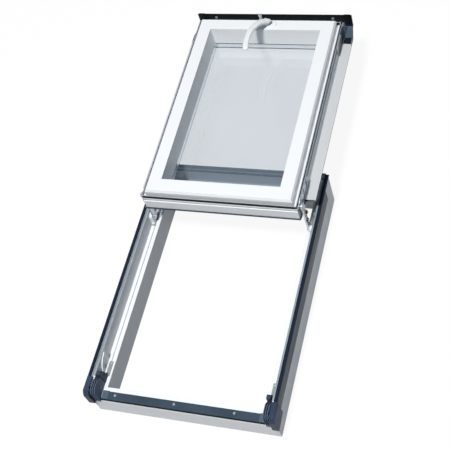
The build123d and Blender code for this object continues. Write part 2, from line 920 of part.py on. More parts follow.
def handle_rose():
    """An oval plate on the lower rail, with a bevelled edge and the hole of the spindle."""
    straight = rose_length - rose_width
    origin = (axis_x + rose_shift[0], axis_y + rose_shift[1], rose_top)
    body = extrude(Plane(origin) * SlotCenterToCenter(straight, rose_width), rose_thickness)
    body = chamfer(body.edges().group_by(Axis.Z)[0], rose_bevel)
    return body - rod_z(spindle_radius + running_clearance, 0, face_height + 1, axis_x, axis_y)


def handle_spindle():
    """The round spindle from the hub of the lever into the rail."""
    top = face_height + spindle_depth - side_clearance
    return rod_z(spindle_radius, hub_top + hub_overlap, top, axis_x, axis_y)


def lever_section(path, t, size):
    """A rounded section square to the path, its long axis level across the sash."""
    tangent = path % t
    level_axis = Vector(1, 0, 0) - tangent * tangent.X
    plane = Plane(origin=path @ t, x_dir=level_axis, z_dir=tangent)
    turns = [radians(360 * (i + 0.5) / lever_sides) for i in range(lever_sides)]
    points = [(lever_width / 2 * size * cos(a), lever_depth / 2 * size * sin(a)) for a in turns]
    return outline(plane, points)


def handle_lever():
    """A round hub and an arched grip that bends over the rail and runs up beside the glass."""
    path = Spline(*((axis_x + x, axis_y + y, hub_top + z) for x, y, z in lever_path))
    grip = loft([lever_section(path, t, size) for t, size in reversed(lever_stations)], ruled=True)
    hub = rod_z(hub_radius, hub_top, hub_seat, axis_x, axis_y)
    hub = chamfer(hub.edges().group_by(Axis.Z)[0], hub_bevel)
    bore = rod_z(spindle_radius + running_clearance, hub_top + hub_overlap - side_clearance, face_height,
                 axis_x, axis_y)
    return hub + grip - bore


def latch_nose():
    """A collar on the spindle with a cranked nose that reaches behind the keeper."""
    low = collar_seat - nose_collar
    start, end = nose_post
    w = nose_width / 2
    lip, inset = nose_tip
    top = nose_height + nose_thickness
    body = block(0, end, -w, w, low, collar_seat)
    body += rod_z(spindle_radius + collar_wall, low, collar_seat, 0, 0)
    body += block(start, end, -w, w, nose_height, collar_seat)
    body += block(start, nose_reach - lip, -w, w, nose_height, top)
    body += block(start, nose_reach, inset - w, w - inset, nose_height, top)
    body -= rod_z(spindle_radius + running_clearance, 0, frame_depth, 0, 0)
    return Pos(axis_x, axis_y, 0) * Rot(0, 0, nose_angle) * body


# The nodes, each in its place with the sash swung over


def swung(shape):
    """Carry a piece from its closed place to the open one: half a turn about the middle of the linkage."""
    return Pos(0, turn_y, turn_z) * Rot(180, 0, 0) * Pos(0, -turn_y, -turn_z) * shape


def pair(name, make):
    shape = make()
    return {name + "_right": shape, name + "_left": left(shape)}


def frame_nodes():
    hinge_pin = frame_pin()
    plate = slot_plate()
    nodes = {
        "frame_pvc": frame_pvc(),
        "frame_gasket": frame_gasket(),
        "head_cladding": head_cladding(),
        "sill_cladding": sill_cladding(),
        "sill_seal": sill_seal(),
        "sill_screws": Compound(sill_screws()),
        "latch_keeper": latch_keeper(),
        "frame_hinge_pins": Compound([hinge_pin, left(hinge_pin)]),
        "slot_plates": Compound([plate, left(plate)]),
    }
    nodes.update(pair("cladding", side_cladding))
    nodes.update(pair("sill_end_plate", sill_end_plate))
    nodes.update(pair("corner_cap", corner_cap))
    nodes.update(pair("bellows", bellows))
    nodes.update(pair("corner_block", corner_block))
    nodes.update(pair("catch_plate", catch_plate))
    nodes.update(pair("catch_hook", catch_hook))
    nodes.update(pair("hinge_shoe", hinge_shoe))
    nodes.update(pair("hinge_bearing", hinge_bearing))
    return nodes


def sash_nodes():
    bolt = hinge_bolt()
    pad = corner_pad()
    pin = channel_pin()
    fixing = skirt_screw()
    nodes = {
        "sash_pvc": sash_pvc(),
        "sash_gasket": sash_gasket(),
        "inner_pane": inner_pane(),
        "outer_pane": outer_pane(),
        "pane_spacer": pane_spacer(),
        "glazing_gasket": glazing_gasket(),
        "cap_seal": cap_seal(),
        "sash_cladding_head": sash_cladding_head(),
        "sash_cladding_skirt": sash_cladding_skirt(),
        "skirt_screws": Compound([fixing, left(fixing)]),
        "corner_pads": Compound([pad, left(pad)]),
        "channel_pins": Compound([pin, left(pin)]),
        "hinge_bolts": Compound([bolt, left(bolt)]),
        "handle_rose": handle_rose(),
        "handle_spindle": handle_spindle(),
        "handle_lever": handle_lever(),
        "latch_nose": latch_nose(),
    }
    nodes.update(pair("sash_cladding", sash_cladding_side))
    nodes.update(pair("corner_plate", corner_plate))
    nodes.update(pair("skirt_end", skirt_end))
    nodes.update(pair("side_guard", side_guard))
    nodes.update(pair("guard_tongue", guard_tongue))
    nodes.update(pair("hinge_channel", hinge_channel))
    nodes.update(pair("spring_clip", spring_clip))
    return {name: swung(shape) for name, shape in nodes.items()}


os.makedirs("parts", exist_ok=True)
centre = Pos(0, -jamb / 2, 0)
everything = frame_nodes()
everything.update(sash_nodes())
everything.update(pair("hinge_arm", hinge_arm))
for name, shape in everything.items():
    export_step(centre * shape, f"parts/{name}.step")
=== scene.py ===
import bpy
import numpy as np
from mathutils import Matrix, Vector


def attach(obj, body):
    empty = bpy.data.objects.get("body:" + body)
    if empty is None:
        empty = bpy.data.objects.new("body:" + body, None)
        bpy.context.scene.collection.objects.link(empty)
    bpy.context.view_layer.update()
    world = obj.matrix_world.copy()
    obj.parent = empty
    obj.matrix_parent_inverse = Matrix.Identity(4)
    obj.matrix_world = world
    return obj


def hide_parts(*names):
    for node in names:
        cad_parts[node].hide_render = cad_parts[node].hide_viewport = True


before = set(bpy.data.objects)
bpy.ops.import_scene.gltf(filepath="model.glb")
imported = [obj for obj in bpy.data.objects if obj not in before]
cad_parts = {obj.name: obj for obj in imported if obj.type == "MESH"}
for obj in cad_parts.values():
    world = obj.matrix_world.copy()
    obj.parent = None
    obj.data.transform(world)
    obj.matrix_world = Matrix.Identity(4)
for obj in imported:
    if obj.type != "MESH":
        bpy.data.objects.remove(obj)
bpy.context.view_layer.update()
scene = bpy.context.scene
scene.view_settings.view_transform = "Standard"

# The studio: the photograph looks down on the window from the sill end and a little from the
# right. A white floor lies under the frame, and one square lamp hangs high above the sill end.
# The air round it is dim and cool, so that the faces turned away from the lamp go blue-grey.

view_right = Vector((0.942375, 0.236837, -0.236299))
view_up = Vector((-0.077763, 0.842019, 0.533814))
view_back = Vector((0.325395, -0.484677, 0.811915))
camera_place = Vector((0.957460, -0.872740, 2.527999))
focal_length = 78.7514
sensor_width = 36.0
camera_reach = 30.0
lamp_place = Vector((0.0, -2.55, 8.4))
lamp_target = Vector((0.0, 0.65, 0.1))
lamp_size = 0.9
lamp_power = 800.0
lamp_colour = (1.0, 0.992, 0.98)
air_tones = ((0.06, (0.175, 0.20, 0.23, 1.0)), (0.5, (0.14, 0.16, 0.185, 1.0)))
air_seen = (1.0, 1.0, 1.0, 1.0)
floor_half = 14.0
floor_drop = 0.001
floor_seen = (0.95, 0.95, 0.95, 1.0)
floor_bounce = (0.15, 0.165, 0.18, 1.0)
floor_glow = 0.92

camera_data = bpy.data.cameras.new("camera")
camera_data.lens = focal_length
camera_data.sensor_width = sensor_width
camera_data.clip_end = camera_reach
camera = bpy.data.objects.new("camera", camera_data)
scene.collection.objects.link(camera)
camera_turn = Matrix((view_right, view_up, view_back)).transposed().to_4x4()
camera.matrix_world = Matrix.Translation(camera_place) @ camera_turn
scene.camera = camera

lamp_data = bpy.data.lights.new("key_lamp", "AREA")
lamp_data.size = lamp_size
lamp_data.energy = lamp_power
lamp_data.color = lamp_colour
lamp = bpy.data.objects.new("key_lamp", lamp_data)
scene.collection.objects.link(lamp)
lamp.location = lamp_place
lamp.rotation_mode = "QUATERNION"
lamp.rotation_quaternion = (lamp_target - lamp_place).to_track_quat("-Z", "Y")


def sum_of(tree, operation, first, second):
    """One sum on two values, each a socket or a number."""
    node = tree.nodes.new("ShaderNodeMath")
    node.operation = operation
    for i, value in enumerate((first, second)):
        if isinstance(value, (int, float)):
            node.inputs[i].default_value = value
        else:
            tree.links.new(value, node.inputs[i])
    return node.outputs[0]


def tinted(tree, factor, first, second):
    """The first colour where the factor is 0 and the second where it is 1, each a colour or a
    socket."""
    node = tree.nodes.new("ShaderNodeMix")
    node.data_type = "RGBA"
    tree.links.new(factor, node.inputs["Factor"])
    for key, colour in (("A", first), ("B", second)):
        if isinstance(colour, tuple):
            node.inputs[key].default_value = colour
        else:
            tree.links.new(colour, node.inputs[key])
    return node.outputs["Result"]


def blended(tree, factor, first, second):
    """The first shader where the factor is 0 and the second where it is 1."""
    node = tree.nodes.new("ShaderNodeMixShader")
    for i, value in enumerate((factor, first.outputs[0], second.outputs[0])):
        tree.links.new(value, node.inputs[i])
    return node.outputs[0]


def seen_ray(tree):
    """What kinds a ray is of, and one for rays from the camera or through glass, else zero."""
    kinds = tree.nodes.new("ShaderNodeLightPath").outputs
    return kinds, sum_of(tree, "MAXIMUM", kinds["Is Camera Ray"], kinds["Is Transmission Ray"])


world = bpy.data.worlds.new("studio_air")
scene.world = world
world.use_nodes = True
air = world.node_tree
air.nodes.clear()
white = air.nodes.new("ShaderNodeBackground")
white.inputs["Color"].default_value = air_seen
dome = air.nodes.new("ShaderNodeBackground")
direction = air.nodes.new("ShaderNodeTexCoord")
direction_axes = air.nodes.new("ShaderNodeSeparateXYZ")
ramp = air.nodes.new("ShaderNodeValToRGB")
for stop, (stop_place, stop_tone) in zip(ramp.color_ramp.elements, air_tones):
    stop.position = stop_place
    stop.color = stop_tone
air.links.new(direction.outputs["Generated"], direction_axes.inputs[0])
air.links.new(direction_axes.outputs["Z"], ramp.inputs[0])
air.links.new(ramp.outputs[0], dome.inputs["Color"])
air_out = air.nodes.new("ShaderNodeOutputWorld")
air.links.new(blended(air, seen_ray(air)[1], dome, white), air_out.inputs[0])

floor_mesh = bpy.data.meshes.new("floor")
corners = [(x * floor_half, y * floor_half, -floor_drop)
           for x, y in ((-1, -1), (1, -1), (1, 1), (-1, 1))]
floor_mesh.from_pydata(corners, [], [(0, 1, 2, 3)])
floor = bpy.data.objects.new("floor", floor_mesh)
scene.collection.objects.link(floor)
paper = bpy.data.materials.new("studio_paper")
paper.use_nodes = True
paper_tree = paper.node_tree
paper_tree.nodes.clear()
ray_kinds, direct = seen_ray(paper_tree)
seen = sum_of(paper_tree, "MAXIMUM", direct, ray_kinds["Is Glossy Ray"])
matt = paper_tree.nodes.new("ShaderNodeBsdfDiffuse")
paper_tree.links.new(tinted(paper_tree, seen, floor_bounce, floor_seen), matt.inputs["Color"])
glow = paper_tree.nodes.new("ShaderNodeEmission")
glow.inputs["Strength"].default_value = 1.0
floor_mix = blended(paper_tree, sum_of(paper_tree, "MULTIPLY", seen, floor_glow), matt, glow)
floor_out = paper_tree.nodes.new("ShaderNodeOutputMaterial")
paper_tree.links.new(floor_mix, floor_out.inputs["Surface"])
floor_mesh.materials.append(paper)

# The fixed frame and the sash are lengths of white plastic profile, mitred and welded at the
# corners. The skin is smooth with a low sheen, the edges are slightly round and each weld leaves
# a fine trimmed line. A dark band of painted shade, standing for the shadow in a seal groove,
# runs along the sash's outer walls. The outer walls carry a painted cool shade, and the sideways
# faces of the frame's opening a painted grey shade.

profile_white = (241, 243, 245)
profile_drift = (238, 240, 242)
flange_tone = (204, 206, 208)
outer_wall_shade = (216, 225, 231)
groove_shade_tone = (84, 94, 110)
frame_reveal_shade = (206, 212, 217)
sash_reveal_shade = (241, 243, 245)
corner_seal_tone = (48, 60, 78)
weld_tone = (190, 193, 196)
crease_tone = (205, 208, 210)
profile_roughness = 0.3
profile_sheen = (0.3, 0.4)
profile_edge = 0.0008
profile_wave = 0.000012
noise_middle = (0.3, 0.7)
drift_noise = (5.0, 4.0)
crease_noise = (60.0, 3.0)
sheen_noise = (22.0, 5.0)
wave_noise = (500.0, 2.0, (1.0, 0.25, 1.0))
weld_width = 0.0005
weld_share = 0.35
weld_depth = 4.0
groove_shade_band = (0.2205, 0.2275)
groove_shade_softness = 0.0004
wall_near, wall_far = 0.0003, 0.0005
flange_start, flange_end = -0.001, -0.0005
reveal_start, reveal_end = 0.0005, 0.0015
corner_seal_front = (-0.004, -0.0035)
corner_seal_foot = (0.118, 0.119)
corner_seal_reach = (0.016, 0.017)
crease_reach = 0.006
crease_depth = (0.1, 0.6)
crease_share = (0.3, 0.8, 0.1, 0.4)
upright_facing = (0.9, 0.95)
edge_samples = 4
frame_half, frame_front, frame_head = 0.275, -0.0197, 0.7603
sash_half, sash_foot, sash_head = 0.240, 0.5627, 1.2683


def paint(red, green, blue):
    """A colour read off a screen, from 0 to 255, as the light that a shader wants."""
    value = np.array([red, green, blue]) / 255.0
    linear = np.where(value <= 0.04045, value / 12.92, ((value + 0.055) / 1.055) ** 2.4)
    return (*[float(c) for c in linear], 1.0)


def fresh(name, colour, roughness, **plain):
    """A new material: its node tree, its shader and the object coordinates, with the plain
    numbers set."""
    material = bpy.data.materials.new(name)
    material.use_nodes = True
    tree = material.node_tree
    shader = tree.nodes["Principled BSDF"]
    shader.inputs["Base Color"].default_value = colour
    shader.inputs["Roughness"].default_value = roughness
    for socket, value in plain.items():
        key = socket.replace("_", " ").title().replace("Ior", "IOR")
        shader.inputs[key].default_value = value
    place = tree.nodes.new("ShaderNodeTexCoord").outputs["Object"]
    return material, tree, shader, place


def axes_of(tree, vector):
    """The three parts of a vector, along X, Y and Z."""
    node = tree.nodes.new("ShaderNodeSeparateXYZ")
    tree.links.new(vector, node.inputs[0])
    return [node.outputs[axis] for axis in "XYZ"]


def cloud(tree, place, scale, detail, stretch=(1.0, 1.0, 1.0)):
    """Smooth noise from 0 to 1, stretched along an axis where its number is small."""
    mapping = tree.nodes.new("ShaderNodeMapping")
    mapping.inputs["Scale"].default_value = stretch
    noise = tree.nodes.new("ShaderNodeTexNoise")
    noise.inputs["Scale"].default_value = scale
    noise.inputs["Detail"].default_value = detail
    tree.links.new(place, mapping.inputs["Vector"])
    tree.links.new(mapping.outputs[0], noise.inputs["Vector"])
    return noise.outputs["Fac"]


def spread(tree, value, low, high, to_low, to_high):
    """A value between low and high carried to the range between to_low and to_high, held at its
    ends."""
    node = tree.nodes.new("ShaderNodeMapRange")
    for i, number in enumerate((low, high, to_low, to_high)):
        node.inputs[i + 1].default_value = number
    tree.links.new(value, node.inputs[0])
    return node.outputs[0]


def rising(tree, value, low, high):
    """0 where the value is below low and 1 where it is above high."""
    return spread(tree, value, low, high, 0.0, 1.0)


def falling(tree, value, low, high):
    """1 where the value is below low and 0 where it is above high."""
    return spread(tree, value, low, high, 1.0, 0.0)


def unsigned(tree, value):
    """A value without its sign."""
    return sum_of(tree, "ABSOLUTE", value, 0.0)


def product(tree, first, second):
    """Two values multiplied."""
    return sum_of(tree, "MULTIPLY", first, second)


def soft_edge(tree, radius):
    """The surface's direction, rounded over at edges within the radius."""
    node = tree.nodes.new("ShaderNodeBevel")
    node.samples = edge_samples
    node.inputs["Radius"].default_value = radius
    return node.outputs[0]


def relief(tree, height, depth, normal):
    """The direction that a surface has with the height pressed into it to the given depth."""
    node = tree.nodes.new("ShaderNodeBump")
    node.inputs["Strength"].default_value = 1.0
    node.inputs["Distance"].default_value = depth
    tree.links.new(height, node.inputs["Height"])
    tree.links.new(normal, node.inputs["Normal"])
    return node.outputs[0]


def hollow(tree, reach):
    """How open the surface is to the air within the reach: 1 in the open and near 0 deep in a
    crease."""
    node = tree.nodes.new("ShaderNodeAmbientOcclusion")
    node.samples = edge_samples
    node.inputs["Distance"].default_value = reach
    return node.outputs["AO"]


def finished(tree, shader, colour, roughness, normal):
    """Give a shader its colour, its roughness and its direction, each a socket."""
    for key, value in (("Base Color", colour), ("Roughness", roughness), ("Normal", normal)):
        tree.links.new(value, shader.inputs[key])


def pairs(*stems):
    """The names of the left and right node of each stem."""
    return [f"{stem}_{side}" for stem in stems for side in ("left", "right")]


def dress(material, *nodes):
    """Give CAD nodes their material, in every slot."""
    for node in nodes:
        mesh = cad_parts[node].data
        if mesh.materials:
            for i in range(len(mesh.materials)):
                mesh.materials[i] = material
        else:
            mesh.materials.append(material)


def welded_plastic(name, half, foot, head, reveal_shade_tone, shade_band=None):
    """White profile whose corners, at plus and minus half and at foot and head, show their mitre
    welds. The flange is painted greyer, the outer walls carry a painted cool shade and the faces of
    the opening that face sideways a painted shade of the given tone. A dark band of painted shade,
    standing for the shadow in a seal groove, runs along the outer walls between the two heights
    given for it."""
    material, tree, shader, place = fresh(name, paint(*profile_white), profile_roughness,
                                          specular_ior_level=0.5)
    x, y, z = axes_of(tree, place)
    inward = sum_of(tree, "SUBTRACT", half, unsigned(tree, x))
    off_foot = sum_of(tree, "SUBTRACT", inward, sum_of(tree, "SUBTRACT", y, foot))
    off_head = sum_of(tree, "SUBTRACT", inward, sum_of(tree, "SUBTRACT", head, y))
    off_mitre = sum_of(tree, "MINIMUM", unsigned(tree, off_foot), unsigned(tree, off_head))
    weld = falling(tree, off_mitre, 0.0, weld_width)

    drift = cloud(tree, place, *drift_noise)
    body = tinted(tree, drift, paint(*profile_drift), paint(*profile_white))
    flange = falling(tree, inward, flange_start, flange_end)
    body = tinted(tree, flange, body, paint(*flange_tone))
    # Painted cool shade: the outer walls are tinted blue-grey.
    wall = falling(tree, unsigned(tree, inward), wall_near, wall_far)
    body = tinted(tree, wall, body, paint(*outer_wall_shade))
    # Painted shade: a dark band along the outer walls stands for the shadow in a seal groove.
    if shade_band:
        low, high = shade_band
        half_groove = (high - low) / 2
        off_middle = unsigned(tree, sum_of(tree, "SUBTRACT", z, (low + high) / 2))
        groove_shade = falling(tree, off_middle, half_groove, half_groove + groove_shade_softness)
        body = tinted(tree, product(tree, groove_shade, wall), body, paint(*groove_shade_tone))

    # Painted shade: faces inside the opening that face sideways take the darker reveal tone.
    facing = axes_of(tree, tree.nodes.new("ShaderNodeNewGeometry").outputs["Normal"])[0]
    upright = rising(tree, unsigned(tree, facing), *upright_facing)
    reveal_shade = product(tree, upright, rising(tree, inward, reveal_start, reveal_end))
    body = tinted(tree, reveal_shade, body, paint(*reveal_shade_tone))
    sealed = product(tree, falling(tree, y, *corner_seal_front), rising(tree, z, *corner_seal_foot))
    sealed = product(tree, sealed, falling(tree, inward, *corner_seal_reach))
    body = tinted(tree, sealed, body, paint(*corner_seal_tone))
    crease = product(tree, falling(tree, hollow(tree, crease_reach), *crease_depth),
                     spread(tree, cloud(tree, place, *crease_noise), *crease_share))
    body = tinted(tree, crease, body, paint(*crease_tone))
    body = tinted(tree, product(tree, weld, weld_share), body, paint(*weld_tone))

    waves = cloud(tree, place, *wave_noise)
    height = sum_of(tree, "SUBTRACT", waves, product(tree, weld, weld_depth))
    sheen = spread(tree, cloud(tree, place, *sheen_noise), *noise_middle, *profile_sheen)
    finished(tree, shader, body, sheen,
             relief(tree, height, profile_wave, soft_edge(tree, profile_edge)))
    return material


frame_plastic = welded_plastic("frame_plastic", frame_half, frame_front, frame_head,
                               frame_reveal_shade)
sash_plastic = welded_plastic("sash_plastic", sash_half, sash_foot, sash_head,
                              sash_reveal_shade, groove_shade_band)
dress(frame_plastic, "frame_pvc")
dress(sash_plastic, "sash_pvc")

# The weather faces are folded aluminium sheet, powder coated in a dark blue-grey with a satin
# skin. The coat is thinnest on the folds, where it is rubbed lighter, and dust gathers in the
# creases. The cut edges of the sash's side sheets are bare metal. The tops of the frame's side
# sheets carry a painted dark shade and reflection, and the top of the head sheet a painted pale
# highlight.

coat = ((70, 84, 98), (54, 67, 80), (118, 130, 142), 0.36)
pale_coat = ((88, 104, 120), (76, 92, 108), (130, 142, 152), 0.34)
coat_gloss = 0.07
coat_dust = (112, 118, 122)
coat_edge = 0.0005
peel_depth = 0.00005
rub_radius = 0.0006
worn_facing = (0.9, 0.995)
dust_reach = 0.02
dust_depth = (0.1, 0.8)
dust_share = (0.4, 0.8, 0.0, 0.22)
rub_share = (0.42, 0.62, 0.15, 0.9)
coat_drift_noise = (9.0, 5.0)
rub_noise = (90.0, 4.0)
dust_noise = (45.0, 5.0)
streak_noise = (30.0, 4.0, (1.0, 0.1, 1.0))
streak_drop, streak_rise = 0.06, 0.08
peel_noise = (700.0, 1.0)
bare_metal = (228, 231, 236)
side_lap_shade = (30, 42, 56)
head_lap_highlight = (158, 168, 178)
skirt_inside_tone = (30, 33, 37)
lap_top = (0.1356, 0.1358)
cut_edge_place = (0.2709, 0.2711)
skirt_inside_start = (1.3110, 1.3112)
skirt_inside_end = (1.3121, 1.3123)


def worn_edges(tree, radius):
    """How far the rounded direction leaves the flat one: 0 on a face and up to 1 on an edge."""
    geometry = tree.nodes.new("ShaderNodeNewGeometry")
    dot = tree.nodes.new("ShaderNodeVectorMath")
    dot.operation = "DOT_PRODUCT"
    tree.links.new(soft_edge(tree, radius), dot.inputs[0])
    tree.links.new(geometry.outputs["Normal"], dot.inputs[1])
    return falling(tree, dot.outputs["Value"], *worn_facing)


def powder_coat(name, colour, dark, rubbed, roughness, special=()):
    """A powder coat: broad tone drift, an orange-peel skin, rubbed folds and dust in the creases.
    A special is an axis, two values and a tone, which the coat turns to where the coordinate,
    taken without its sign, passes from the first value to the second."""
    material, tree, shader, place = fresh(name, paint(*colour), roughness,
                                          specular_ior_level=coat_gloss)
    drift = rising(tree, cloud(tree, place, *coat_drift_noise), *noise_middle)
    body = tinted(tree, drift, paint(*dark), paint(*colour))
    rub = product(tree, worn_edges(tree, rub_radius),
                  spread(tree, cloud(tree, place, *rub_noise), *rub_share))
    body = tinted(tree, rub, body, paint(*rubbed))
    dust = product(tree, falling(tree, hollow(tree, dust_reach), *dust_depth),
                   spread(tree, cloud(tree, place, *dust_noise), *dust_share))
    body = tinted(tree, dust, body, paint(*coat_dust))
    for axis, start, tone in special:
        reach = unsigned(tree, axes_of(tree, place)["XYZ".index(axis)])
        body = tinted(tree, rising(tree, reach, *start), body, paint(*tone))
    streaks = spread(tree, cloud(tree, place, *streak_noise), *noise_middle,
                     roughness - streak_drop, roughness + streak_rise)
    peel = relief(tree, cloud(tree, place, *peel_noise), peel_depth, soft_edge(tree, coat_edge))
    finished(tree, shader, body, streaks, peel)
    return material


dress(powder_coat("anthracite_sheet", *coat), "sill_cladding", "sash_cladding_head")
# Painted highlight and reflection: the top strip of the head sheet is made pale.
dress(powder_coat("head_sheet_lap_highlight", *coat, [("Z", lap_top, head_lap_highlight)]), "head_cladding")
# Painted shade and dark reflection: the top strip of the side sheets is darkened.
dress(powder_coat("side_sheet_lap_shade", *coat, [("Z", lap_top, side_lap_shade)]), *pairs("cladding"))
dress(powder_coat("side_sheet", *coat, [("X", cut_edge_place, bare_metal)]),
      *pairs("sash_cladding"))
dress(powder_coat("skirt_sheet", *coat, [("Y", skirt_inside_start, skirt_inside_tone),
                                         ("Y", skirt_inside_end, coat[0])]),
      "sash_cladding_skirt")
dress(powder_coat("end_plate_sheet", *pale_coat), *pairs("sill_end_plate", "corner_plate"))

# Corner caps, upright blocks and side guards are moulded in a dark blue-grey plastic with a fine
# grain, and the skirt ends in black. The hinge shoes and catch plates are grey, the catch hooks
# and hinge bearings white. All of them have slightly round edges.

navy_look = ((60, 74, 94), (50, 62, 81), 0.42, 1600.0, 0.00004, 0.08)
black_look = ((24, 27, 31), (17, 19, 22), 0.46, 1500.0, 0.00004, 0.1)
grey_look = ((150, 155, 160), (138, 143, 149), 0.44, 1400.0, 0.00003)
ivory_look = ((240, 242, 243), (233, 236, 238), 0.32, 1300.0, 0.00001)
guard_back = (1.2600, 1.2680)
guard_back_tone = (150, 160, 172)
scuff_lift = 34
scuff_share = (0.45, 0.6, 0.1, 0.7)
scuff_noise = (160.0, 3.0)
moulding_drift_noise = (40.0, 4.0)
patch_noise = (120.0, 3.0)
patch_swing = 0.07
grain_detail = 2.0
moulding_edge = 0.0007


def moulded(name, colour, other, roughness, grain, depth, gloss=0.45, back=None):
    """Moulded plastic: drift between two close tones, a fine eroded grain and scuffed edges.
    Back gives two places on Y and the tone that the plastic turns to between them."""
    material, tree, shader, place = fresh(name, paint(*colour), roughness,
                                          specular_ior_level=gloss)
    drift = rising(tree, cloud(tree, place, *moulding_drift_noise), *noise_middle)
    body = tinted(tree, drift, paint(*colour), paint(*other))
    lighter = tuple(min(255, c + scuff_lift) for c in colour)
    scuff = product(tree, worn_edges(tree, rub_radius),
                    spread(tree, cloud(tree, place, *scuff_noise), *scuff_share))
    body = tinted(tree, scuff, body, paint(*lighter))
    if back:
        start, tone = back
        body = tinted(tree, rising(tree, axes_of(tree, place)[1], *start), body, paint(*tone))
    patches = spread(tree, cloud(tree, place, *patch_noise), *noise_middle,
                     roughness - patch_swing, roughness + patch_swing)
    pits = cloud(tree, place, grain, grain_detail)
    finished(tree, shader, body, patches,
             relief(tree, pits, depth, soft_edge(tree, moulding_edge)))
    return material


navy = moulded("navy_moulding", *navy_look)
dress(navy, *pairs("corner_cap", "corner_block"))
guard = moulded("guard_moulding", *navy_look, (guard_back, guard_back_tone))
dress(guard, *pairs("side_guard"))
black = moulded("black_moulding", *black_look)
dress(black, *pairs("skirt_end"))
grey = moulded("grey_moulding", *grey_look)
dress(grey, *pairs("catch_plate", "hinge_shoe", "guard_tongue"))
ivory = moulded("white_moulding", *ivory_look)
dress(ivory, *pairs("catch_hook", "hinge_bearing"))

# The handle is moulded in white plastic: an oval rose on the rail, and a lever with a thick
# rounded neck that arches over the edge of the rail and narrows into a flat grip beside the
# glass. The lever turns on a round hub, and all its edges are rounded over.

axis_place = np.array([0.002, 1.2353])
hub_profile = [(0.0, 0.2788), (0.0114, 0.2788), (0.012, 0.2795), (0.012, 0.285),
               (0.0118, 0.2872), (0.0108, 0.2888), (0.0085, 0.2895), (0.0, 0.2895)]
hub_columns = 64
grip_line = [(0.0170, 1.2372, 0.2830), (0.0125, 1.2345, 0.2875), (0.0030, 1.2262, 0.2945),
             (-0.0085, 1.2115, 0.3030), (-0.0175, 1.1910, 0.3105), (-0.0248, 1.1600, 0.3178),
             (-0.0264, 1.1250, 0.3202), (-0.0215, 1.0840, 0.3190)]
grip_share = [0.0, 0.08, 0.2, 0.32, 0.45, 0.7, 0.9, 1.0]
grip_width = [0.0105, 0.0120, 0.0125, 0.0118, 0.0104, 0.0090, 0.0090, 0.0086]
grip_depth = [0.0070, 0.0080, 0.0088, 0.0075, 0.0055, 0.0044, 0.0046, 0.0044]
grip_rows, grip_columns = 110, 48
grip_squareness = 2.6
rose_middle = np.array([0.006, 1.2363])
rose_straight = 0.031
rose_radius = 0.0155
rose_foot, rose_face = 0.2701, 0.273
rose_rim = [(1.0, rose_foot), (1.0, rose_face - 0.0013), (0.97, rose_face - 0.0005),
            (0.92, rose_face - 0.0001), (0.85, rose_face), (0.02, rose_face)]
rose_columns = 96
smallest_radius = 0.00002
smallest_end = 0.0004
fine_steps = 40


def skin(name, points, material):
    """A smooth mesh from rows of points that each close round the piece. Neighbouring rows and
    columns share a four-sided face, and the first and last rows are capped."""
    rows, columns = points.shape[:2]
    index = np.arange(rows * columns).reshape(rows, columns)
    near, far = index[:-1], index[1:]
    quads = np.stack([near, np.roll(near, -1, 1), np.roll(far, -1, 1), far], -1).reshape(-1, 4)
    mesh = bpy.data.meshes.new(name)
    faces = quads.tolist() + [index[0][::-1].tolist(), index[-1].tolist()]
    mesh.from_pydata(points.reshape(-1, 3).tolist(), [], faces)
    mesh.polygons.foreach_set("use_smooth", [True] * len(mesh.polygons))
    mesh.materials.append(material)
    piece = bpy.data.objects.new(name, mesh)
    scene.collection.objects.link(piece)
    return piece


def flatten(piece):
    """Show a piece's faces flat, with sharp edges between them."""
    piece.data.polygons.foreach_set("use_smooth", [False] * len(piece.data.polygons))


def walked_along(points):
    """The length along a line of points, from its start to each of them."""
    return np.concatenate([[0.0], np.cumsum(np.linalg.norm(np.diff(points, axis=0), axis=1))])


def smooth_line(points, count):
    """Points along a curve that passes through the given ones: cubic pieces, each end's direction
    taken from its two neighbours, sampled evenly by length."""
    knots = np.array(points)
    step = walked_along(knots)
    slope = np.gradient(knots, step, axis=0)
    fine = np.linspace(0.0, step[-1], fine_steps * count)
    low = np.clip(np.searchsorted(step, fine, side="right") - 1, 0, len(knots) - 2)
    span = (step[low + 1] - step[low])[:, None]
    t = (fine - step[low])[:, None] / span
    line = ((2 * t**3 - 3 * t**2 + 1) * knots[low]
            + (t**3 - 2 * t**2 + t) * span * slope[low]
            + (3 * t**2 - 2 * t**3) * knots[low + 1]
            + (t**3 - t**2) * span * slope[low + 1])
    length = walked_along(line)
    even = np.linspace(0.0, length[-1], count)
    return np.stack([np.interp(even, length, line[:, i]) for i in range(3)], -1)


def flat_bar(line, widths, depths, columns, power):
    """A bar along a line: each section is a superellipse of the given half width, level, and half
    depth. The half sizes follow a quarter circle to nothing at both ends."""
    tangent = np.gradient(line, axis=0)
    tangent /= np.linalg.norm(tangent, axis=1)[:, None]
    level = np.array([1.0, 0.0, 0.0]) - tangent * tangent[:, :1]
    level /= np.linalg.norm(level, axis=1)[:, None]
    up = np.cross(tangent, level)
    walked = walked_along(line)
    end = np.minimum(np.minimum(walked, walked[-1] - walked) / depths, 1.0)
    ease = np.sqrt(np.maximum(1.0 - (1.0 - end) ** 2, smallest_end))
    turn = np.linspace(0.0, 2 * np.pi, columns, endpoint=False)
    across = np.sign(np.cos(turn)) * np.abs(np.cos(turn)) ** (2 / power)
    over = np.sign(np.sin(turn)) * np.abs(np.sin(turn)) ** (2 / power)
    reach = (widths * ease)[:, None, None] * across[None, :, None] * level[:, None, :]
    rise = (depths * ease)[:, None, None] * over[None, :, None] * up[:, None, :]
    return line[:, None, :] + reach + rise


